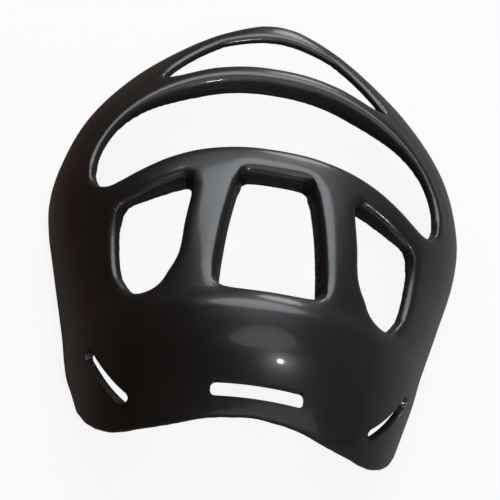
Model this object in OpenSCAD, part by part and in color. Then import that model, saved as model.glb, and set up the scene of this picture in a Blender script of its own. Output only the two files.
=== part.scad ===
// Boxing headguard face grille, lying on its rim with the face upwards.
// The chin end points to -Y, the crown end to +Y and the face to +Z.
// One dished surface carries every member, and each member is a patch of it with its own depth.

/* [Overall size] */
// Length of the face from the jaw edge to the crown bar
face_length = 248; // [225:1:270]
// Width of the face across the temples
face_width = 212; // [195:1:225]
// Height of the chin bulge above the rim
face_height = 88.5; // [78:0.5:98]

/* [Wall depths] */
// Depth of the bars in the middle of the face
bar_depth = 10.5; // [8:0.5:12]
// Depth of the cheek walls beside the outer windows
cheek_depth = 5.5; // [4.5:0.5:7]
// Thickness of the jaw wall
jaw_wall = 3.2; // [2.6:0.1:4.2]
// Thickness of the crown bar in the middle
crown_depth = 4.5; // [3.5:0.5:6]
// Rounding of a free edge as a share of the wall depth
edge_share = 0.36; // [0.2:0.02:0.4]
// Slope of a bar's side walls, as widening at the back per unit of depth
wall_draft = 0.17; // [0:0.01:0.2]
// How far the chin bulge stands proud below the windows
chin_ridge = 1.8; // [0.5:0.1:3]

/* [Bars] */
// Width of the brow bar on the midline
brow_width = 17; // [13:0.5:19]
// Width of the forehead bar on the midline
forehead_width = 11.5; // [9:0.5:14]
// Width of the crown bar on the midline
crown_width = 12.5; // [10:0.5:15]
// Width of each upright at its head
upright_head = 21; // [17:0.5:23]
// Width of each upright at its foot
upright_foot = 20; // [16:0.5:22]

/* [Strap slots] */
// Length of the chin slot
chin_slot_length = 41; // [34:0.5:46]
// Width of the chin slot
chin_slot_width = 5.6; // [4:0.2:7]
// Length of each side slot
side_slot_length = 36; // [28:0.5:40]
// Width of each side slot
side_slot_width = 6; // [4:0.2:6.6]

/* [Part to show] */
// Name of one node, or all of them

/* [Hidden] */
colour = [0.16, 0.16, 0.17];
// The outlines below are drawn for this length and width, and stretch with the real ones.
drawn_length = 248;
drawn_width = 212;
along = face_length / drawn_length;
across = face_width / drawn_width;

// Stations of the dished surface: distance from the jaw edge, crest height and half width,
// as shares of the length, the height and the width.
stations = [
    [-0.030, 0.565, 0.315], [0.026, 0.790, 0.343], [0.115, 0.966, 0.374],
    [0.187, 1.000, 0.399], [0.244, 0.972, 0.415], [0.357, 0.932, 0.453],
    [0.478, 0.876, 0.491], [0.575, 0.797, 0.500], [0.700, 0.661, 0.476],
    [0.820, 0.531, 0.403], [0.929, 0.418, 0.295], [1.002, 0.345, 0.212],
    [1.060, 0.260, 0.130]
];

function mix(a, b, t) = a + (b - a) * t;
function smooth(a, low, high) =
    let (t = min(1, max(0, (a - low) / (high - low)))) t * t * (3 - 2 * t);
function backwards(list) = [for (i = [len(list) - 1:-1:0]) list[i]];
function tail(list) = [for (i = [1:1:len(list) - 1]) list[i]];

// A smooth curve through a short list of values, with the slope at each taken from its neighbours.
function stretch_of(list, v, i = 0) =
    (i >= len(list) - 2 || v < list[i + 1][0]) ? i : stretch_of(list, v, i + 1);
function slope_at(list, i, k) =
    let (a = max(0, i - 1), b = min(len(list) - 1, i + 1))
    (list[b][k] - list[a][k]) / (list[b][0] - list[a][0]);
function along_curve(list, v, k) =
    let (i = stretch_of(list, v),
         step = list[i + 1][0] - list[i][0],
         t = (v - list[i][0]) / step)
    list[i][k] * (1 + 2 * t) * (1 - t) * (1 - t)
    + slope_at(list, i, k) * step * t * (1 - t) * (1 - t)
    + list[i + 1][k] * t * t * (3 - 2 * t)
    + slope_at(list, i + 1, k) * step * t * t * (t - 1);

function crest(v) = face_height * along_curve(stations, v / face_length, 1);
function half_width(v) = face_width * along_curve(stations, v / face_length, 2);

// A place on the surface is [angle from the crest, distance from the jaw edge].
function place(x, v) =
    let (d = v * along)
    [asin(min(1, max(-1, x * across / half_width(d)))), d];

// The point at a place, moved out along the surface normal.
function dish(p, out) =
    let (w = half_width(p[1]), h = crest(p[1]),
         w_slope = half_width(p[1] + 0.5) - half_width(p[1] - 0.5),
         h_slope = crest(p[1] + 0.5) - crest(p[1] - 0.5),
         s = sin(p[0]), c = cos(p[0]),
         n = [h * s, -h * w_slope * s * s - w * h_slope * c * c, w * c],
         base = [w * s, p[1] - face_length / 2, h * c])
    base + n / norm(n) * (out + ridge_at(p));

// The chin bulge ends in a ridge under the windows and fades out towards the slot and the cheeks.
function ridge_at(p) =
    let (v = p[1] / along)
    chin_ridge * (1 - smooth(v, 45, 57)) * smooth(v, 4, 32) * (1 - smooth(abs(p[0]), 20, 46));

// Depth of the wall behind the surface: thin at the jaw, deep in the bars.
function wall_at(p) =
    mix(jaw_wall,
        mix(bar_depth, cheek_depth, smooth(abs(p[0]), 26, 54)),
        smooth(p[1] / along, 36, 62));
function crown_wall_at(p) = mix(crown_depth, cheek_depth, smooth(abs(p[0]), 40, 60));

// Shares of a chord at which a rounded edge is cut into short steps.
round_steps = [0, 0.134, 0.5, 1];
round_drops = [1, 0.5, 0.134, 0];

// Rows across a band: rounded at both edges, with plain rows between.
function rows_of(chord, r_low, r_high, middle) = concat(
    [for (k = round_steps) k * r_low / chord],
    [for (m = [1:1:middle]) mix(r_low / chord, 1 - r_high / chord, m / (middle + 1))],
    backwards([for (k = round_steps) 1 - k * r_high / chord]));
function drops_of(r_low, r_high, middle) = concat(
    [for (k = round_drops) k * r_low],
    [for (m = [1:1:middle]) 0],
    backwards([for (k = round_drops) k * r_high]));

function edge_radius(depth, chord) = min(depth * edge_share, chord * 0.34);

// One column of a band between two places. Each edge has a share of its rounding, 0 at a joint,
// and a share of its draft, which is 0 along a shared crease too.
function column(low, high, free_low, free_high, middle, crown = false, lean_low = -1, lean_high = -1) =
    let (chord = norm(dish(low, 0) - dish(high, 0)),
         d_low = crown ? crown_wall_at(low) : wall_at(low),
         d_high = crown ? crown_wall_at(high) : wall_at(high),
         r_low = edge_radius(d_low, chord),
         r_high = edge_radius(d_high, chord),
         rows = rows_of(chord, r_low, r_high, middle),
         drops = drops_of(r_low * free_low, r_high * free_high, middle),
         spread_low = wall_draft * d_low * (lean_low < 0 ? free_low : lean_low) / chord,
         spread_high = wall_draft * d_high * (lean_high < 0 ? free_high : lean_high) / chord)
    [for (i = [0:1:len(rows) - 1])
        let (p = mix(low, high, rows[i]),
             q = mix(low, high, mix(-spread_low, 1 + spread_high, rows[i])),
             depth = crown ? crown_wall_at(q) : wall_at(q))
        [dish(p, -drops[i]), dish(q, -depth)]];

// Shares of a joint line, the same on both members that meet there.
function joint_shares(a, b, middle, crown = false) =
    let (chord = norm(dish(a, 0) - dish(b, 0)),
         r_a = edge_radius(crown ? crown_wall_at(a) : wall_at(a), chord),
         r_b = edge_radius(crown ? crown_wall_at(b) : wall_at(b), chord))
    rows_of(chord, r_a, r_b, middle);
function joint_places(a, b, middle, crown = false) =
    [for (t = joint_shares(a, b, middle, crown)) mix(a, b, t)];

// A closed solid from a grid of [outer point, inner point] pairs.
// Columns run to the right and rows towards the crown, seen from outside.
module patch(grid) {
    cols = len(grid);
    rows = len(grid[0]);
    layer = cols * rows;
    outer = [for (c = grid) for (p = c) p[0]];
    inner = [for (c = grid) for (p = c) p[1]];
    all_points = concat(outer, inner);
    // The rim of the grid, once round, as point numbers.
    ring = concat(
        [for (c = [0:1:cols - 2]) c * rows],
        [for (r = [0:1:rows - 2]) (cols - 1) * rows + r],
        [for (c = [cols - 1:-1:1]) c * rows + rows - 1],
        [for (r = [rows - 1:-1:1]) r]);
    skin = [for (c = [0:1:cols - 2]) for (r = [0:1:rows - 2])
        let (a = c * rows + r, b = a + rows)
        for (f = [[a, a + 1, b + 1], [a, b + 1, b]]) f];
    back = [for (f = skin) [f[0] + layer, f[2] + layer, f[1] + layer]];
    // Both members at a joint split its wall along the same diagonals.
    side = [for (i = [0:1:len(ring) - 1])
        let (a = ring[i], b = ring[(i + 1) % len(ring)],
             pa = all_points[a], pb = all_points[b],
             a_first = abs(pa[0]) + 0.37 * pa[1] < abs(pb[0]) + 0.37 * pb[1])
        for (f = a_first
            ? [[a, b, b + layer], [a, b + layer, a + layer]]
            : [[a, b, a + layer], [b, b + layer, a + layer]]) f];
    polyhedron(points = all_points, faces = concat(skin, back, side), convexity = 10);
}

// Columns of a member that crosses the midline, from those of its right half.
function whole(half) =
    concat([for (c = backwards(tail(half))) [for (p = c) [mirror_x(p[0]), mirror_x(p[1])]]], half);
function mirror_x(p) = [-p[0], p[1], p[2]];

// Outlines of the right half, as distances from the midline and from the jaw edge on the drawn face.
brow_top = 143.2;
forehead_low = 198.5;
crown_top = 248;
head_in = place(18.2, 123.5);
head_out = place(18.2 + upright_head, 117.5);
foot_in = place(26, 63.5);
foot_out = place(26 + upright_foot, 66);
window_low = place(68, 68.5);
window_high = place(72, 102.5);
tip_low = place(79, 118.5);
temple_in = place(87, 130.5);
temple_crease = place(92.8, 131.5);
temple_rim = [86, 128 * along];
jaw_rim = [90, 64 * along];
notch = place(58.5, 197);
chin_slot_place = 13.6;
side_slot_low = place(58.5, 13);
side_slot_high = place(74.5, 36);
slot_corner = 0.4;
// Rows between the crease and the rim, alike on the crown bar, the cheeks and the jaws.
rim_rows = 3;

function places(list) = [for (p = list) place(p[0], p[1])];
function zeros(list) = [for (i = list) 0];

// The crease between the forehead bar and the crown bar, from the notch down to the temple.
crease = concat([notch], places([[63.5, 192.5], [70.5, 184.6], [77.5, 174.5], [83.5, 164],
                                 [88.2, 153], [91.3, 142]]), [temple_crease]);
crease_free = [0.4, 0.8, 1, 1, 1, 1, 0.6, 0];

// Brow bar.
brow_head = joint_places(head_in, head_out, 1);
brow_low = concat(
    places([[0, brow_top - brow_width], [7, brow_top - brow_width], [13, brow_top - brow_width],
            [15.6, brow_top - brow_width - 0.5], [17.5, brow_top - brow_width - 1.6]]),
    brow_head,
    places([[upright_head + 19, 119.6], [upright_head + 21.5, 120.6], [47, 118.7], [54, 115.6],
            [61.5, 111.7], [67.2, 109], [70.6, 106.2]]),
    [window_high]);
brow_free = concat([1, 1, 1, 1, 0.7], zeros(brow_head), [0.7, 1, 1, 1, 1, 1, 0.7, 0]);
brow_edge = [[0, 143.2], [15, 142.8], [29, 140.8], [41, 137.6], [53.5, 132.3], [64, 126],
             [74.5, 119.6], [79, 118.5]];

function brow_half() =
    let (last = len(brow_low) - 1, reach = brow_low[last][0])
    [for (i = [0:1:last])
        let (x = 79 * pow(brow_low[i][0] / reach, 1.06),
             high = i == last ? tip_low : place(x, along_curve(brow_edge, x, 1)))
        column(brow_low[i], high, brow_free[i], i == last ? 0 : 1, 0)];

module brow_bar() {
    color(colour) patch(whole(brow_half()));
}

// Uprights. Rows run from the foot on the jaw guard to the head under the brow bar.
upright_inside = [[0, 26], [0.08, 25.3], [0.5, 23], [0.92, 18.9], [1, 18.2]];
upright_outside = [[0, 26 + upright_foot], [0.08, 24.6 + upright_foot], [0.25, 22.2 + upright_foot],
                   [0.5, 20.7 + upright_head], [0.92, 18.4 + upright_head], [1, 18.2 + upright_head]];
upright_rows = [0, 0.04, 0.1, 0.22, 0.36, 0.5, 0.64, 0.78, 0.92, 0.97, 1];

function upright_grid() =
    let (lines = [for (t = upright_rows)
            let (v_in = mix(63.5, 123.5, t),
                 v_out = mix(66, 117.5, t),
                 a = place(along_curve(upright_inside, t, 1), v_in),
                 b = place(along_curve(upright_outside, t, 1), v_out),
                 free = smooth(t, 0, 0.1) * (1 - smooth(t, 0.92, 1)))
            column(a, b, free, free, 1)],
         count = len(lines[0]))
    [for (k = [0:1:count - 1]) [for (line = lines) line[k]]];

module upright() {
    color(colour) patch(upright_grid());
}

module right_upright() {
    upright();
}

module left_upright() {
    mirror([1, 0, 0]) upright();
}

// Forehead bar, from temple to temple, in front of the crown bar.
forehead_high = concat(
    places([[0, forehead_low + forehead_width], [8, forehead_low + forehead_width],
            [16, forehead_low + forehead_width - 0.5], [25, forehead_low + forehead_width - 2],
            [34, forehead_low + forehead_width - 4], [42, forehead_low + forehead_width - 7.2],
            [49, forehead_low + forehead_width - 10.4], [54.5, 196.9 + 0.09 * forehead_width]]),
    crease);
forehead_free = concat([1, 1, 1, 1, 1, 1, 1, 0.7], crease_free);
forehead_lean = concat([1, 1, 1, 1, 1, 1, 1, 0.7], zeros(crease));
forehead_edge = [[0, 198.5], [15, 198.1], [30, 195.5], [44, 190.7], [56, 184.5], [66, 177.3],
                 [75, 167.8], [81.3, 157.8], [85.4, 147.5], [87.2, 138], [87, 130.5]];

function forehead_half() =
    let (last = len(forehead_high) - 1)
    [for (i = [0:1:last])
        let (t = i / last,
             steps = len(forehead_edge) - 1,
             k = steps * (t < 0.5 ? 0.95 * t : t - 0.05 * (1 - t)),
             low = i == last ? temple_in : spot_on(forehead_edge, k))
        column(low, forehead_high[i], i == last ? 0 : 1, forehead_free[i], 0,
               lean_high = forehead_lean[i])];

// A place on an outline at a count of its points, on a curve through them.
function spot_on(list, k) =
    let (i = min(len(list) - 2, floor(k)), t = k - i,
         a = list[max(0, i - 1)], b = list[i], c = list[i + 1], d = list[min(len(list) - 1, i + 2)],
         m0 = (c - a) / (i == 0 ? 1 : 2), m1 = (d - b) / (i == len(list) - 2 ? 1 : 2),
         p = b * (1 + 2 * t) * (1 - t) * (1 - t) + m0 * t * (1 - t) * (1 - t)
             + c * t * t * (3 - 2 * t) + m1 * t * t * (t - 1))
    place(p[0], p[1]);

module forehead_bar() {
    color(colour) patch(whole(forehead_half()));
}

// Crown bar, from temple to temple round the top of the rim.
crown_low = concat(
    places([[0, crown_top - crown_width], [10, crown_top - crown_width - 0.9],
            [20, crown_top - crown_width - 3.3], [30, 229.2], [39, 222.6], [47, 215.2],
            [53.5, 207.3], [57.4, 200.5]]),
    crease);
crown_free = concat([1, 1, 1, 1, 1, 1, 1, 0.6], crease_free);
crown_lean = concat([1, 1, 1, 1, 1, 1, 1, 0.6], zeros(crease));
// The rim, as angles from the crest against distances from the jaw edge.
crown_rim = [[0, 248], [14, 246.5], [28, 241], [40, 235], [48, 227.3], [53.3, 218.8], [57.6, 209.3],
             [60.8, 199.5], [63.4, 190], [66, 180], [68.7, 170], [71.6, 160], [75, 150],
             [79.3, 140], [86, 128]];

function crown_half() =
    let (last = len(crown_low) - 1)
    [for (i = [0:1:last])
        let (rim = rim_spot(i / last * (len(crown_rim) - 1)))
        column(crown_low[i], rim, crown_free[i], 1 - smooth(i / last, 0.8, 1), rim_rows, true,
               lean_low = crown_lean[i])];
function rim_spot(k) =
    let (i = min(len(crown_rim) - 2, floor(k)), t = k - i,
         p = mix(crown_rim[i], crown_rim[i + 1], t))
    [p[0], p[1] * along];

module crown_bar() {
    color(colour) patch(whole(crown_half()));
}

// Cheeks. Columns run from the window to the rim, rows from the jaw guard to the temple.
crease_foot = place(76, 67.5);
function cheek_line(a, middle, b, free_a) =
    let (first = joint_shares(a, middle, 0),
         second = joint_shares(middle, b, rim_rows, true),
         r = edge_radius(wall_at(a), norm(dish(a, 0) - dish(middle, 0))),
         drops = drops_of(r * free_a, 0, 0))
    concat(
        [for (i = [0:1:len(first) - 1])
            let (p = mix(a, middle, first[i]),
                 q = mix(a, middle, first[i] - wall_draft * free_a * wall_at(a)
                     * (1 - smooth(first[i], 0, 0.5)) / norm(dish(a, 0) - dish(middle, 0))))
            [dish(p, -drops[i]), dish(q, -wall_at(q))]],
        [for (t = tail(second)) let (p = mix(middle, b, t)) [dish(p, 0), dish(p, -wall_at(p))]]);
cheek_window = concat([window_low], places([[69.6, 74], [70.9, 81], [71.8, 89], [72.2, 96]]));
cheek_joint = joint_places(window_high, tip_low, 0);
cheek_tip = concat(places([[82.3, 120], [84.8, 122.8], [86.4, 126.5]]), [temple_in]);
cheek_inner = concat(cheek_window, cheek_joint, cheek_tip);
cheek_free = concat([0, 0.7, 1, 1, 0.7], zeros(cheek_joint), [0.6, 1, 0.7, 0]);

function cheek_grid() =
    let (last = len(cheek_inner) - 1,
         lines = [for (i = [0:1:last])
            let (t = (cheek_inner[i][1] - cheek_inner[0][1])
                     / (cheek_inner[last][1] - cheek_inner[0][1]))
            cheek_line(cheek_inner[i],
                       mix(crease_foot, temple_crease, pow(t, 1.1)),
                       mix(jaw_rim, temple_rim, t),
                       cheek_free[i])],
         count = len(lines[0]))
    [for (k = [0:1:count - 1]) [for (line = lines) line[k]]];

module cheek() {
    color(colour) patch(cheek_grid());
}

module right_cheek() {
    cheek();
}

module left_cheek() {
    mirror([1, 0, 0]) cheek();
}

// Chin guard and jaws. Their upper edge is the sill, the feet of the uprights, the window ends
// and the cheeks, and their lower edge is open at the throat.
chin_foot = joint_places(foot_in, foot_out, 1);
chin_high = concat(
    places([[0, 58.2], [8, 58.2], [16, 58.5], [21.3, 59.3], [24.4, 61]]),
    chin_foot);
chin_free = concat([1, 1, 1, 1, 0.7], zeros(chin_foot));
jaw_joint = concat(joint_places(window_low, crease_foot, 0),
                   tail(joint_places(crease_foot, jaw_rim, rim_rows, true)));
jaw_high = concat(
    [foot_out],
    places([[27.4 + upright_foot, 63], [29.6 + upright_foot, 60.6], [52.8, 58.4], [56.6, 57.4],
            [60.4, 58.2], [63.6, 61], [65.8, 64.8]]),
    jaw_joint);
jaw_free = concat([0, 0.7, 1, 1, 1, 1, 1, 0.7], zeros(jaw_joint));
// The lower edge, as angles from the crest against distances from the jaw edge.
jaw_edge = [[0, 3.5], [15, 2.5], [25, 1], [34, 0], [43, -0.3], [51, 0], [58, 1.2], [66, 4.4],
            [74, 9.8], [80, 16], [85, 24.5], [90, 40]];

function jaw_columns(high_edge, free) =
    [for (i = [0:1:len(high_edge) - 1])
        let (high = high_edge[i], low = [high[0], along * along_curve(jaw_edge, high[0], 1)],
             chord = norm(dish(low, 0) - dish(high, 0)),
             r_low = edge_radius(wall_at(low), chord),
             r_high = edge_radius(wall_at(high), chord),
             rows = concat([for (k = round_steps) k * r_low / chord],
                           [0.12, 0.22, 0.33, 0.44, 0.55, 0.66, 0.77, 0.86],
                           backwards([for (k = round_steps) 1 - k * r_high / chord])),
             drops = drops_of(r_low, r_high * free[i], 8),
             spread = wall_draft * wall_at(high) * free[i] / chord)
        [for (k = [0:1:len(rows) - 1])
            let (p = mix(low, high, rows[k]),
                 q = mix(low, high, rows[k] + spread * smooth(rows[k], 0.6, 1)))
            [dish(p, -drops[k]), dish(q, -wall_at(q))]]];

// Outline of a strap slot with rounded corners.
module slot_outline(long, wide) {
    corner = wide * slot_corner;
    square([long - 2 * corner, wide], center = true);
    square([long, wide - 2 * corner], center = true);
    for (x = [-1, 1])
        for (y = [-1, 1])
            translate([x * (long / 2 - corner), y * (wide / 2 - corner)]) circle(corner, $fn = 24);
}

// The chin slot is cut straight through along the height of the face, as the mould opens.
module chin_slot() {
    centre = dish(place(0, chin_slot_place), 0);
    translate([0, centre[1], centre[2] - 6 * jaw_wall])
        linear_extrude(9 * jaw_wall) slot_outline(chin_slot_length, chin_slot_width);
}

// A side slot slants down the jaw and is cut straight through along the width of the face.
module side_slot() {
    a = dish(side_slot_low, 0);
    b = dish(side_slot_high, 0);
    centre = dish(mix(side_slot_low, side_slot_high, 0.5), 0);
    slant = [0, b[1] - a[1], b[2] - a[2]];
    run = slant / norm(slant);
    across_run = cross([1, 0, 0], run);
    reach = abs(b[0] - a[0]) / 2 + 4 * jaw_wall;
    multmatrix([[0, 0, 1, centre[0] - reach],
                [run[1], across_run[1], 0, centre[1]],
                [run[2], across_run[2], 0, centre[2]],
                [0, 0, 0, 1]])
        linear_extrude(2 * reach)
            slot_outline(side_slot_length * norm(slant) / norm(b - a), side_slot_width);
}

module chin_guard() {
    color(colour) difference() {
        patch(whole(jaw_columns(chin_high, chin_free)));
        chin_slot();
    }
}

module jaw() {
    color(colour) difference() {
        patch(jaw_columns(jaw_high, jaw_free));
        side_slot();
    }
}

module right_jaw() {
    jaw();
}

module left_jaw() {
    mirror([1, 0, 0]) jaw();
}

chin_guard();
left_jaw();
right_jaw();
left_cheek();
right_cheek();
left_upright();
right_upright();
brow_bar();
forehead_bar();
crown_bar();
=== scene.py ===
from math import asin, cos, radians, sin

import bmesh
import bpy
import numpy as np
from mathutils import Matrix, Vector


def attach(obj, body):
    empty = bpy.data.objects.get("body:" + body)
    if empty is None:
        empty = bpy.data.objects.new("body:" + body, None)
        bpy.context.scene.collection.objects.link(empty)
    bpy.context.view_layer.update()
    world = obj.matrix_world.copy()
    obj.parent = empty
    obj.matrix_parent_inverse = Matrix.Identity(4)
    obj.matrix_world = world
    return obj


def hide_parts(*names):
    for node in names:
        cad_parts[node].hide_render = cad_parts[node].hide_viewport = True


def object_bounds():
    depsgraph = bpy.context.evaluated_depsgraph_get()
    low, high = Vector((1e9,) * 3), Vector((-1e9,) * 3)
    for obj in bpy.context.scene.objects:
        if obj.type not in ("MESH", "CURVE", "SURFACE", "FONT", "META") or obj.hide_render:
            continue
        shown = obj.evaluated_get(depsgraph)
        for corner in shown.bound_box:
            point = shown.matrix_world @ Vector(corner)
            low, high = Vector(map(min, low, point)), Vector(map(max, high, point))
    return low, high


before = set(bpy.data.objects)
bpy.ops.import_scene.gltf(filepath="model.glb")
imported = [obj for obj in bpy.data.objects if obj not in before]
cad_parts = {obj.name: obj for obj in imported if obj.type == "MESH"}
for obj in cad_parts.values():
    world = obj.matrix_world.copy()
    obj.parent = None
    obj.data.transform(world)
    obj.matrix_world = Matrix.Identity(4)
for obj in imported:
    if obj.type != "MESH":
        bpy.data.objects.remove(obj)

cadLow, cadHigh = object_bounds()
members = list(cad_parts)
scene = bpy.context.scene

# The dished surface that every bar lies on, in metres and as shares of its size.
dish = {
    "length": 0.248,
    "width": 0.212,
    "height": 0.0885,
    "ridge": 0.0018,                 # how far the chin bulge stands proud
    "ridgeStart": (0.004, 0.032),    # it rises between these distances from the jaw edge
    "ridgeEnd": (0.045, 0.057),      # and ends between these
    "ridgeSide": (20, 46),           # it fades between these angles from the crest
    # distance from the jaw edge, height of the crest, half width
    "stations": [
        (-0.030, 0.565, 0.315), (0.026, 0.790, 0.343), (0.115, 0.966, 0.374),
        (0.187, 1.000, 0.399), (0.244, 0.972, 0.415), (0.357, 0.932, 0.453),
        (0.478, 0.876, 0.491), (0.575, 0.797, 0.500), (0.700, 0.661, 0.476),
        (0.820, 0.531, 0.403), (0.929, 0.418, 0.295), (1.002, 0.345, 0.212),
        (1.060, 0.260, 0.130),
    ],
    "tableStep": 0.0001,             # how far apart the sections of the table are
    "unrollRounds": 30,              # rounds of search for a point's foot on the dish
}


# A smooth curve through values at uneven places.
def curveThrough(places, values, at):
    count = len(places)
    pairs = [(max(i - 1, 0), min(i + 1, count - 1)) for i in range(count)]
    slopes = np.array([(values[b] - values[a]) / (places[b] - places[a]) for a, b in pairs])
    places, values = np.array(places), np.array(values)
    i = np.clip(np.searchsorted(places, at, side="right") - 1, 0, count - 2)
    step = places[i + 1] - places[i]
    t = (at - places[i]) / step
    return (values[i] * (1 + 2 * t) * (1 - t) ** 2 + slopes[i] * step * t * (1 - t) ** 2
            + values[i + 1] * t * t * (3 - 2 * t) + slopes[i + 1] * step * t * t * (t - 1))


def smoothStep(value, low, high):
    t = np.clip((value - low) / (high - low), 0, 1)
    return t * t * (3 - 2 * t)


# Crest height and half width of the dish, tabled along its length.
shares, crestShares, widthShares = zip(*dish["stations"])
along = np.arange(shares[0] * dish["length"], shares[-1] * dish["length"], dish["tableStep"])
crest = dish["height"] * curveThrough(shares, crestShares, along / dish["length"])
halfWidth = dish["width"] * curveThrough(shares, widthShares, along / dish["length"])
crestSlope = np.gradient(crest, along)
widthSlope = np.gradient(halfWidth, along)


def chinRidge(angle, distance):
    return (dish["ridge"] * (1 - smoothStep(distance, *dish["ridgeEnd"]))
            * smoothStep(distance, *dish["ridgeStart"])
            * (1 - smoothStep(np.abs(np.degrees(angle)), *dish["ridgeSide"])))


# Points on the dish and its normals there, from the angle from the crest and the distance along.
def dishPoint(angle, distance):
    h, w = np.interp(distance, along, crest), np.interp(distance, along, halfWidth)
    hs, ws = np.interp(distance, along, crestSlope), np.interp(distance, along, widthSlope)
    s, c = np.sin(angle), np.cos(angle)
    base = np.stack([w * s, distance - dish["length"] / 2, h * c], 1)
    normal = np.stack([h * s, -h * ws * s * s - w * hs * c * c, w * c], 1)
    return base, normal / np.linalg.norm(normal, axis=1)[:, None]


# How wide one radian is when unrolled.
def flatRadius(distance):
    return (np.interp(distance, along, crest) + np.interp(distance, along, halfWidth)) / 2


# The angle from the crest of a spot that lies this far from the midline.
def spotAngle(x, distance):
    return asin(x / np.interp(distance, along, halfWidth))


# Unrolled, the dish is a level plane, so bars keep flat faces while their edges are softened.
def unroll(points):
    foot = points.copy()
    for turn in range(dish["unrollRounds"]):
        distance = foot[:, 1] + dish["length"] / 2
        angle = np.arctan2(foot[:, 0] / np.interp(distance, along, halfWidth),
                           foot[:, 2] / np.interp(distance, along, crest))
        base, normal = dishPoint(angle, distance)
        out = np.einsum("ij,ij->i", points - base, normal)
        foot = points - normal * out[:, None]
    return np.stack([angle * flatRadius(distance), distance,
                     out - chinRidge(angle, distance)], 1)


def roll(points):
    distance = points[:, 1]
    angle = points[:, 0] / flatRadius(distance)
    base, normal = dishPoint(angle, distance)
    return base + normal * (points[:, 2] + chinRidge(angle, distance))[:, None]


def meshPoints(mesh):
    points = np.zeros(len(mesh.vertices) * 3)
    mesh.vertices.foreach_get("co", points)
    return points.reshape(-1, 3)


def moveVerts(mesh, change):
    mesh.vertices.foreach_set("co", change(meshPoints(mesh)).ravel())
    mesh.update()


def meshFrom(bm, name):
    mesh = bpy.data.meshes.new(name)
    bm.to_mesh(mesh)
    bm.free()
    return mesh


def newObject(name, data):
    made = bpy.data.objects.new(name, data)
    scene.collection.objects.link(made)
    return made


# Gives an object modifiers and keeps their result as its mesh.
def applied(made, *steps):
    for kind, settings in steps:
        modifier = made.modifiers.new(kind.lower(), kind)
        for key, value in settings.items():
            setattr(modifier, key, value)
    shown = made.evaluated_get(bpy.context.evaluated_depsgraph_get())
    mesh = bpy.data.meshes.new_from_object(shown)
    made.modifiers.clear()
    made.data = mesh
    return made


# Cuts an object by a mesh, joins the mesh to it, or keeps what they share.
def combined(made, operation, otherMesh):
    other = newObject("other", otherMesh)
    applied(made, ("BOOLEAN", {"operation": operation, "object": other, "solver": "MANIFOLD"}))
    bpy.data.objects.remove(other)
    return made


# How deep the walls are behind the dish.
walls = {
    "jaw": 0.0032,
    "bar": 0.0105,                   # bars in the middle of the face
    "cheek": 0.0055,
    "ends": (0.036, 0.062),          # the wall deepens between these distances from the jaw edge
    "sides": (26, 54),               # and thins again between these angles from the crest
    "draft": 0.17,                   # a side wall's slope
}


def wallDepth(angle, distance):
    across = smoothStep(np.abs(angle), *np.radians(walls["sides"]))
    bar = walls["bar"] + (walls["cheek"] - walls["bar"]) * across
    return walls["jaw"] + (bar - walls["jaw"]) * smoothStep(distance, *walls["ends"])


# Corners of the windows on the right half, where two members meet and their side walls' slope runs
# out. Each has the next spots along its two edges, and the slope is filled in between them.
windowCorners = [
    ((0.0260, 0.0635), (0.0253, 0.0690), (0.0235, 0.0605)),
    ((0.0182, 0.1235), (0.0190, 0.1180), (0.0156, 0.1257)),
    ((0.0392, 0.1175), (0.0394, 0.1125), (0.0425, 0.1206)),
    ((0.0460, 0.0660), (0.0444, 0.0710), (0.0496, 0.0606)),
    ((0.0720, 0.1025), (0.0722, 0.0960), (0.0706, 0.1062)),
    ((0.0680, 0.0685), (0.0696, 0.0740), (0.0636, 0.0610)),
]
cornerFill = {
    "steps": 5,                      # cones from a corner to each of its next spots
    "sides": 16,
    "top": -0.003,                   # the cones start this far below the face
}


# Cones that widen towards the back carry the walls' slope through the corners of the windows.
def cornerCones():
    top, draft = cornerFill["top"], walls["draft"]
    bm = bmesh.new()
    for corner, *ends in windowCorners:
        for end in ends:
            for x, distance in np.linspace(corner, end, cornerFill["steps"]):
                for side in (-1, 1):
                    angle = side * spotAngle(x, distance)
                    depth = wallDepth(angle, distance)
                    spot = Vector((angle * flatRadius(distance), distance, (top - depth) / 2))
                    bmesh.ops.create_cone(bm, cap_ends=True, segments=cornerFill["sides"],
                                          radius1=draft * depth, radius2=-draft * top,
                                          depth=depth + top, matrix=Matrix.Translation(spot))
    return meshFrom(bm, "cones")


# The strap slots, each with its ends as distances from the midline and from the jaw edge.
# The chin slot is cut along the height of the face and the side slots along its width.
slots = {
    "chin": {"ends": ((0, 0.0136), (0, 0.0136)), "long": 0.041, "wide": 0.0056},
    "side": {"ends": ((0.0585, 0.013), (0.0745, 0.036)), "long": 0.036, "wide": 0.006},
    "corner": 0.4,                   # a corner's radius as a share of the slot's width
    "cornerSteps": 6,
    "cornerProfile": 0.5,            # round
    "plugMargin": 0.004,             # a plug is wider than its slot by this on each side
    "plugEnds": 0.008,               # and longer by this at each end
    "reach": 0.015,                  # a cutter reaches this far from the dish to both sides
}
slotted = {"chin_guard": ("chin", 1), "left_jaw": ("side", -1), "right_jaw": ("side", 1)}


# Where a slot starts, ends and has its middle, unrolled.
def slotSpots(slot, side):
    ends = [(side * spotAngle(x, distance), distance) for x, distance in slot["ends"]]
    spots = ends + [tuple(np.mean(ends, axis=0))]
    return np.array([(angle * flatRadius(distance), distance, 0) for angle, distance in spots])


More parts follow.
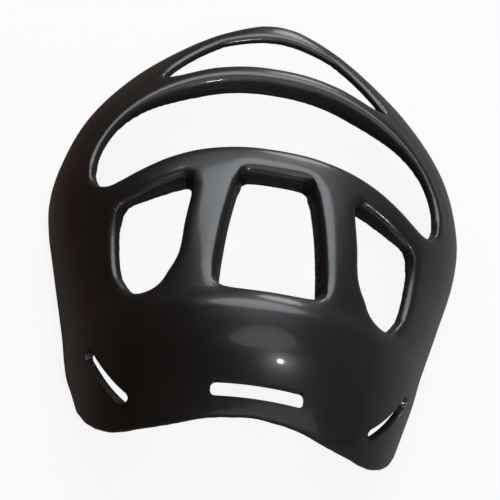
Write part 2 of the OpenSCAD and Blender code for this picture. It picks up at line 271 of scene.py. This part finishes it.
# A block with rounded upright corners, its length along one direction and its depth along another.
def slotBlock(size, middle, run, depthAxis, corner=0):
    bm = bmesh.new()
    bmesh.ops.create_cube(bm, size=1, matrix=Matrix.Diagonal((*size, 1)))
    if corner:
        upright = [e for e in bm.edges if abs(e.verts[0].co.z - e.verts[1].co.z) > size[2] / 2]
        bmesh.ops.bevel(bm, geom=upright, offset=corner, segments=slots["cornerSteps"],
                        profile=slots["cornerProfile"], affect="EDGES")
    turn = Matrix((run, depthAxis.cross(run), depthAxis)).transposed().to_4x4()
    bmesh.ops.transform(bm, matrix=Matrix.Translation(middle) @ turn, verts=bm.verts)
    return meshFrom(bm, "slotBlock")


# Fills a slot while the moulding is softened, so that its edges stay crisp.
def slotPlug(kind, side, back, top):
    slot = slots[kind]
    low, high, middle = (Vector(spot) for spot in slotSpots(slot, side))
    run = (high - low).normalized() if high != low else Vector((1, 0, 0))
    size = (slot["long"] + 2 * slots["plugEnds"], slot["wide"] + 2 * slots["plugMargin"],
            top - back)
    middle.z = (top + back) / 2
    return slotBlock(size, middle, run, Vector((0, 0, 1)))


def slotCutter(kind, side):
    slot = slots[kind]
    low, high, middle = (Vector(spot) for spot in roll(slotSpots(slot, side)))
    if high == low:
        run, depthAxis, long = Vector((1, 0, 0)), Vector((0, 0, 1)), slot["long"]
    else:
        slant = Vector((0, high.y - low.y, high.z - low.z))
        run, depthAxis = slant.normalized(), Vector((1, 0, 0))
        long = slot["long"] * slant.length / (high - low).length
    size = (long, slot["wide"], 2 * slots["reach"])
    return slotBlock(size, middle, run, depthAxis, slots["corner"] * slot["wide"])


# How the whole moulding is remeshed and softened before it is parted into its members.
softening = {
    "weld": 0.000001,                # the solids' loose triangles are merged within this distance
    "voxel": 0.00045,
    "factor": 0.5,                   # how far a round of smoothing moves a point to its neighbours
    "filletRounds": 20,              # rounds of smoothing that fillet every edge and corner
    "crownRounds": 170,              # the bars' faces are crowned by these, along their depth alone
    "crownDepth": (-0.0042, -0.0012),  # crowning fades in from below the face to the face
    "crownFrom": (0.036, 0.058),     # and sets in between these distances from the jaw edge
    "outlineRounds": 130,            # the outlines are evened by these, along the dish alone
    "crispReach": (0.003, 0.010),    # evening fades in between these distances from crisp corners
    "rimRounds": 200,                # the jaws and the rim are evened further by these
    "jawLine": (0.030, 0.046),       # the jaws end between these distances from the jaw edge
    "rimLine": (70, 80),             # and the rim starts between these angles from the crest
    "swellDepths": (0.0032, 0.0055, 0.0105),   # walls of these depths are swelled this far first,
    "swells": (0.0009, 0.0004, 0.0),           # to make up for what the evening takes off them
    "rimSwell": 0.0007,              # and those of the jaws and the rim by this as well
    "polishRounds": 12,              # rounds of smoothing that even out what is left
    "shareLevels": 12,               # steps in which a vertex group holds its shares
}

# Corners of the openings that keep their small radius, on the right half.
crispCorners = [(0.0260, 0.0635), (0.0182, 0.1235), (0.0392, 0.1175), (0.0720, 0.1025),
                (0.0870, 0.1305), (0.0585, 0.1970)]


def unrolledMember(node):
    bm = bmesh.new()
    bm.from_mesh(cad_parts[node].data)
    bmesh.ops.remove_doubles(bm, verts=bm.verts, dist=softening["weld"])
    mesh = meshFrom(bm, node + "Flat")
    moveVerts(mesh, unroll)
    return mesh


# A Smooth modifier for one vertex group, which leaves the directions that are named still.
def smoothing(rounds, group="", still=""):
    free = {"use_" + axis: axis not in still for axis in "xyz"}
    return "SMOOTH", {"factor": softening["factor"], "iterations": rounds, "vertex_group": group,
                      **free}


# A vertex group that holds each point's share, in a few levels.
def shareGroup(moulded, name, share):
    count = softening["shareLevels"]
    levels = np.round(share * count).astype(int)
    group = moulded.vertex_groups.new(name=name)
    for level in range(1, count + 1):
        group.add(np.nonzero(levels == level)[0].tolist(), level / count, "REPLACE")


# How far the outlines are evened: fully, except near the corners that stay crisp.
def evened(u, distance):
    share = np.ones(len(u))
    for x, cornerDistance in crispCorners:
        corner = spotAngle(x, cornerDistance) * flatRadius(cornerDistance)
        reach = np.hypot(np.abs(u) - corner, distance - cornerDistance)
        share = np.minimum(share, smoothStep(reach, *softening["crispReach"]))
    return share


# Fillets the moulding, rounds the bars' faces by smoothing their height alone, and evens the
# outlines by smoothing the rest alone, after the walls have been swelled to make up for it.
def softened(moulded):
    applied(moulded, smoothing(softening["filletRounds"]))
    u, distance, height = meshPoints(moulded.data).T
    normals = np.zeros(len(u) * 3)
    moulded.data.vertex_normals.foreach_get("vector", normals)
    sideways = normals.reshape(-1, 3) * (1, 1, 0)
    angle = u / flatRadius(distance)
    crown = (smoothStep(height, *softening["crownDepth"])
             * smoothStep(distance, *softening["crownFrom"]))
    outline = evened(u, distance)
    rim = np.maximum(1 - smoothStep(distance, *softening["jawLine"]),
                     smoothStep(np.degrees(np.abs(angle)), *softening["rimLine"]))
    swell = outline * (softening["rimSwell"] * rim + np.interp(
        wallDepth(angle, distance), softening["swellDepths"], softening["swells"]))
    for name, share in (("crown", crown), ("outline", outline), ("rim", np.minimum(rim, outline))):
        shareGroup(moulded, name, share)
    moveVerts(moulded.data, lambda points: points + sideways * swell[:, None])
    applied(moulded, smoothing(softening["crownRounds"], "crown", "xy"),
            smoothing(softening["outlineRounds"], "outline", "z"),
            smoothing(softening["rimRounds"], "rim", "z"),
            smoothing(softening["polishRounds"]))
    moulded.vertex_groups.clear()


# The whole moulding is softened in one piece, so that its corners are filleted.
flat = {node: unrolledMember(node) for node in members}
joined = bmesh.new()
for mesh in flat.values():
    joined.from_mesh(mesh)
for kind, side in slotted.values():
    joined.from_mesh(slotPlug(kind, side, -walls["jaw"], 0))
joined.from_mesh(cornerCones())
whole = applied(newObject("whole", meshFrom(joined, "wholeFlat")),
                ("REMESH", {"mode": "VOXEL", "voxel_size": softening["voxel"]}))
softened(whole)
print("moulding softened:", len(whole.data.polygons), "faces")

# How the moulding is parted along its members' outlines.
parting = {
    "top": 0.012,                    # the blocks that part it end this far above the dish
    "back": -0.03,                   # and this far below
    "margin": 0.0018,                # a member takes the fillets this near to its outline
    "sideLean": 0.15,                # a point whose normal leans out by this lies on a side wall
    "seamAngle": 50,                 # edges that bend by more than this are shaded sharp
    "sliver": 0.00002,               # points nearer than this are merged
    "crumb": 12,                     # loose parts with fewer points than this are left out
    "touch": 0.000001,               # points nearer than this count as the same
}


# A member's outline as an upright block without its slot, widened by a margin where one is given.
def memberBlock(node, margin=0):
    top, back = parting["top"], parting["back"]
    bm = bmesh.new()
    bm.from_mesh(flat[node])
    bm.normal_update()
    for v in bm.verts:
        side = Vector((v.normal.x, v.normal.y, 0))
        v.co.z = top if v.normal.z > 0 else back
        if margin and side.length > parting["sideLean"]:
            v.co += side.normalized() * margin
    block = newObject("block", meshFrom(bm, "block"))
    if node in slotted:
        spare = slots["plugMargin"]
        combined(block, "UNION", slotPlug(*slotted[node], back - spare, top + spare))
    return block


# Merges the slivers that the cuts leave along the seams.
def mergeSlivers(mesh):
    bm = bmesh.new()
    bm.from_mesh(mesh)
    bmesh.ops.remove_doubles(bm, verts=bm.verts, dist=parting["sliver"])
    bmesh.ops.dissolve_degenerate(bm, edges=bm.edges, dist=parting["sliver"])
    bm.to_mesh(mesh)
    bm.free()


# Labels every point of a mesh with the lowest point of the loose part that it is in.
def partLabels(mesh):
    ends = np.zeros(len(mesh.edges) * 2, dtype=np.int32)
    mesh.edges.foreach_get("vertices", ends)
    ends = ends.reshape(-1, 2)
    labels = np.arange(len(mesh.vertices))
    while True:
        lowest = labels[ends].min(axis=1)
        lower = labels.copy()
        np.minimum.at(lower, ends[:, 0], lowest)
        np.minimum.at(lower, ends[:, 1], lowest)
        lower = lower[lower]
        if (lower == labels).all():
            return labels
        labels = lower


# A mesh's loose parts as meshes, the largest first, without the crumbs.
def looseParts(mesh):
    labels = partLabels(mesh)
    found, counts = np.unique(labels, return_counts=True)
    parts = []
    for i in np.argsort(-counts, kind="stable"):
        if counts[i] < parting["crumb"]:
            break
        bm = bmesh.new()
        bm.from_mesh(mesh)
        others = [v for v in bm.verts if labels[v.index] != found[i]]
        bmesh.ops.delete(bm, geom=others, context="VERTS")
        parts.append(meshFrom(bm, "part"))
    return parts


# How many of a small part's points a member has too.
def sharedPoints(part, member):
    touch = parting["touch"]
    spots, points = meshPoints(part), meshPoints(member)
    near = (points > spots.min(axis=0) - touch) & (points < spots.max(axis=0) + touch)
    points = points[near.all(axis=1)]
    return sum((np.abs(points - spot).max(axis=1) < touch).any() for spot in spots)


blocks = {node: memberBlock(node) for node in members}
pieces = {}
rest = whole
for turn, node in enumerate(members[:-1]):
    region = memberBlock(node, parting["margin"])
    for later in members[turn + 1:]:
        combined(region, "DIFFERENCE", blocks[later].data)
    piece = newObject(node + "Piece", rest.data.copy())
    pieces[node] = combined(piece, "INTERSECT", region.data)
    combined(rest, "DIFFERENCE", region.data)
    bpy.data.objects.remove(region)
pieces[members[-1]] = rest
for block in blocks.values():
    bpy.data.objects.remove(block)
print("moulding parted into", len(pieces), "members")

# Bits of fillet that no member took join the member that they share most points with.
rest.data, *bits = looseParts(rest.data)
for bit in bits:
    taker = max(pieces.values(), key=lambda piece: sharedPoints(bit, piece.data))
    combined(taker, "UNION", bit)
    print("bit of", len(bit.vertices), "points joined to", taker.name)

for node, piece in pieces.items():
    moveVerts(piece.data, roll)
    if node in slotted:
        combined(piece, "DIFFERENCE", slotCutter(*slotted[node]))
    moveVerts(piece.data, lambda points: np.clip(points, cadLow, cadHigh))
    mergeSlivers(piece.data)
    piece.data = looseParts(piece.data)[0]
    piece.name = "".join(word.title() if i else word for i, word in enumerate(node.split("_")))
    piece.data.name = piece.name
    piece.data.shade_smooth()
    piece.data.set_sharp_from_angle(angle=radians(parting["seamAngle"]))
    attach(piece, "root")
    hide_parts(node)
    print(piece.name, len(piece.data.polygons), "faces")


# A socket that takes part in sums, each of which adds its Math node.
class Wire:
    def __init__(self, tree, socket):
        self.tree, self.socket = tree, socket

    def math(self, operation, *others):
        return self.tree.node("ShaderNodeMath", {"operation": operation},
                              dict(enumerate((self,) + others)))

    def __add__(self, other):
        return self.math("ADD", other)

    def __sub__(self, other):
        return self.math("SUBTRACT", other)

    def __mul__(self, other):
        return self.math("MULTIPLY", other)

    def __rsub__(self, other):
        return self.tree.wired(other).math("SUBTRACT", self)

    __radd__ = __add__
    __rmul__ = __mul__


# The nodes of a material or of the world.
class Tree:
    def __init__(self, owner):
        owner.use_nodes = True
        self.owner = owner
        self.nodes = owner.node_tree.nodes
        self.links = owner.node_tree.links
        self.nodes.clear()

    # A number as a wire.
    def wired(self, value):
        return self.node("ShaderNodeMath", {"operation": "ADD"}, {0: value, 1: 0.0})

    # Makes a node, sets it up, gives its sockets values or links, and returns an output.
    def node(self, kind, settings=None, sockets=None, output=0):
        made = self.nodes.new(kind)
        for key, value in (settings or {}).items():
            setattr(made, key, value)
        for key, value in (sockets or {}).items():
            if isinstance(value, Wire):
                self.links.new(value.socket, made.inputs[key])
            else:
                made.inputs[key].default_value = value
        return Wire(self, made.outputs[output]) if made.outputs else made


plastic = {
    "colour": (0.0075, 0.0075, 0.0082, 1),
    "warmColour": (0.0115, 0.0090, 0.0072, 1),
    "roughness": 0.34,
    "roughnessSpread": 0.10,
    "coat": 0.35,
    "coatRoughness": 0.09,
    "mottle": {"Scale": 26, "Detail": 4.0, "Roughness": 0.6},
    "grain": {"Scale": 900, "Detail": 3.0, "Roughness": 0.55},
    "grainBump": {"Strength": 0.02, "Distance": 0.0002},
    "sink": {"Scale": 38, "Detail": 1.0},      # the shallow waves of a cooled moulding
    "sinkBump": {"Strength": 0.25, "Distance": 0.0004},
}


def mouldedPlastic():
    tree = Tree(bpy.data.materials.new("mouldedPlastic"))
    place = tree.node("ShaderNodeTexCoord", output="Object")
    mottle, grain, sink = (
        tree.node("ShaderNodeTexNoise", {}, {"Vector": place, **plastic[name]}, "Fac")
        for name in ("mottle", "grain", "sink"))
    tint = tree.node("ShaderNodeMix", {"data_type": "RGBA"},
                     {0: mottle, 6: plastic["colour"], 7: plastic["warmColour"]}, 2)
    rough = plastic["roughness"] + plastic["roughnessSpread"] * (mottle - 0.5)
    sunk = tree.node("ShaderNodeBump", {}, {"Height": sink, **plastic["sinkBump"]})
    bump = tree.node("ShaderNodeBump", {}, {"Height": grain, "Normal": sunk,
                                            **plastic["grainBump"]})
    shader = tree.node("ShaderNodeBsdfPrincipled", {},
                       {"Base Color": tint, "Roughness": rough, "Normal": bump,
                        "Coat Weight": plastic["coat"],
                        "Coat Roughness": plastic["coatRoughness"]})
    tree.node("ShaderNodeOutputMaterial", {}, {"Surface": shader})
    return tree.owner


plasticMaterial = mouldedPlastic()
for piece in pieces.values():
    piece.data.materials.clear()
    piece.data.materials.append(plasticMaterial)

# A white floor whose shadow stays faint to the camera, and a room that is dim to the plastic.
stage = {
    "white": (1, 1, 1, 1),
    "floorSize": 40.0,
    "floorColour": (0.92, 0.92, 0.92, 1),
    "shadowShare": 0.12,             # how much of the shadow the camera sees
    "shadowFade": (0.5, 1.6),        # the floor turns plain white between these distances
    "floorGlow": (0.30, 0.30, 0.30, 1),        # the floor as the plastic sees it,
    "warmGlow": (0.115, 0.062, 0.044, 1),      # and to the grille's left
    "warmEdge": (-0.16, 0.06),       # the warm glow gives way between these places
    "dimSide": (0.040, 0.024, 0.018, 1),       # the room as the plastic sees it, to the left
    "lightSide": (0.17, 0.165, 0.155, 1),      # and to the right
}


def whiteFloor():
    tree = Tree(bpy.data.materials.new("floorPaper"))
    seen = tree.node("ShaderNodeLightPath", output="Is Camera Ray")
    place = tree.node("ShaderNodeTexCoord", output="Object")
    reach = tree.node("ShaderNodeVectorMath", {"operation": "LENGTH"}, {0: place}, "Value")
    fadeStart, fadeEnd = stage["shadowFade"]
    near = tree.node("ShaderNodeMapRange", {}, {"Value": reach, "From Min": fadeStart,
                                                "From Max": fadeEnd, "To Min": 1, "To Max": 0})
    across = tree.node("ShaderNodeSeparateXYZ", {}, {"Vector": place}, "X")
    warmEnd, coolStart = stage["warmEdge"]
    cool = tree.node("ShaderNodeMapRange", {}, {"Value": across, "From Min": warmEnd,
                                                "From Max": coolStart})
    paper, left, right = (tree.node("ShaderNodeBsdfDiffuse", {}, {"Color": stage[name]})
                          for name in ("floorColour", "warmGlow", "floorGlow"))
    bright = tree.node("ShaderNodeEmission", {}, {"Color": stage["white"]})
    face = tree.node("ShaderNodeMixShader", {},
                     {0: 1 - stage["shadowShare"] * near, 1: paper, 2: bright})
    dim = tree.node("ShaderNodeMixShader", {}, {0: cool, 1: left, 2: right})
    both = tree.node("ShaderNodeMixShader", {}, {0: seen, 1: dim, 2: face})
    tree.node("ShaderNodeOutputMaterial", {}, {"Surface": both})
    return tree.owner


# The room is lighter to the right of the grille and warm and dim to its left.
def studioRoom():
    tree = Tree(bpy.data.worlds.new("studioRoom"))
    heading = tree.node("ShaderNodeTexCoord", output="Generated")
    rightward = tree.node("ShaderNodeSeparateXYZ", {}, {"Vector": heading}, "X")
    dim, light, white = (tree.node("ShaderNodeBackground", {}, {"Color": stage[name]})
                         for name in ("dimSide", "lightSide", "white"))
    room = tree.node("ShaderNodeMixShader", {}, {0: rightward * 0.5 + 0.5, 1: dim, 2: light})
    seen = tree.node("ShaderNodeLightPath", output="Is Camera Ray")
    both = tree.node("ShaderNodeMixShader", {}, {0: seen, 1: room, 2: white})
    tree.node("ShaderNodeOutputWorld", {}, {"Surface": both})
    return tree.owner


sheet = bmesh.new()
bmesh.ops.create_grid(sheet, x_segments=1, y_segments=1, size=stage["floorSize"] / 2)
floor = newObject("floor", meshFrom(sheet, "floor"))
floor.data.materials.append(whiteFloor())
scene.world = studioRoom()
print("floor and room set")

# Where each lamp stands, what it points at, its width and height, its power and its tint.
lamps = {
    "backLamp": {"place": (0.0, 1.05, 1.15), "aim": (0, 0, 0.05), "size": (1.5, 1.1),
                 "power": 17, "tint": (0.88, 0.94, 1.0)},
    "topLamp": {"place": (0.12, -0.25, 1.50), "aim": (0, -0.05, 0.05), "size": (1.2, 1.0),
                "power": 4.0, "tint": (1.0, 0.99, 0.98)},
    "frontLamp": {"place": (0.35, -1.50, 0.40), "aim": (0, -0.05, 0.03), "size": (1.4, 0.6),
                  "power": 1.8, "tint": (1.0, 0.98, 0.96)},
    "glintLamp": {"place": (0.36, -0.80, 1.02), "aim": (0, -0.08, 0.08), "size": (0.07, 0.07),
                  "power": 2.3, "tint": (1.0, 0.99, 0.97)},
    "edgeLamp": {"place": (0.30, 1.5, 0.40), "aim": (0, 0, 0.04), "size": (0.50, 0.30),
                 "power": 2.6, "tint": (0.95, 0.97, 1.0)},
}
for name, lamp in lamps.items():
    light = bpy.data.lights.new(name, "AREA")
    light.shape = "ELLIPSE"
    light.size, light.size_y = lamp["size"]
    light.energy = lamp["power"]
    light.color = lamp["tint"]
    stand = newObject(name, light)
    stand.location = lamp["place"]
    aim = Vector(lamp["aim"]) - stand.location
    stand.rotation_euler = aim.to_track_quat("-Z", "Y").to_euler()

# The photo's view: a long lens over the chin, leaning a little.
view = {
    "azimuth": -11.4,
    "elevation": 59.5,
    "lean": 18.9,
    "aim": (-0.0067, -0.0276, 0.050),
    "distance": 0.668,
    "focalPixels": 1420,
    "framePixels": 500,
    "sensor": 36,
    "clip": (0.01, 20),
}


def photoCamera():
    data = bpy.data.cameras.new("photoCamera")
    data.sensor_width = view["sensor"]
    data.lens = view["focalPixels"] / view["framePixels"] * view["sensor"]
    data.clip_start, data.clip_end = view["clip"]
    az, el, lean = (radians(view[key]) for key in ("azimuth", "elevation", "lean"))
    back = Vector((sin(az) * cos(el), -cos(az) * cos(el), sin(el)))
    level = Vector((cos(az), sin(az), 0))
    upward = back.cross(level)
    right = level * cos(lean) + upward * sin(lean)
    up = upward * cos(lean) - level * sin(lean)
    turn = Matrix((right, up, back)).transposed().to_4x4()
    camera = newObject("photoCamera", data)
    camera.matrix_world = Matrix.Translation(Vector(view["aim"]) + back * view["distance"]) @ turn
    return camera


scene.camera = photoCamera()
scene.view_settings.view_transform = "Standard"
print("lamps and camera set")
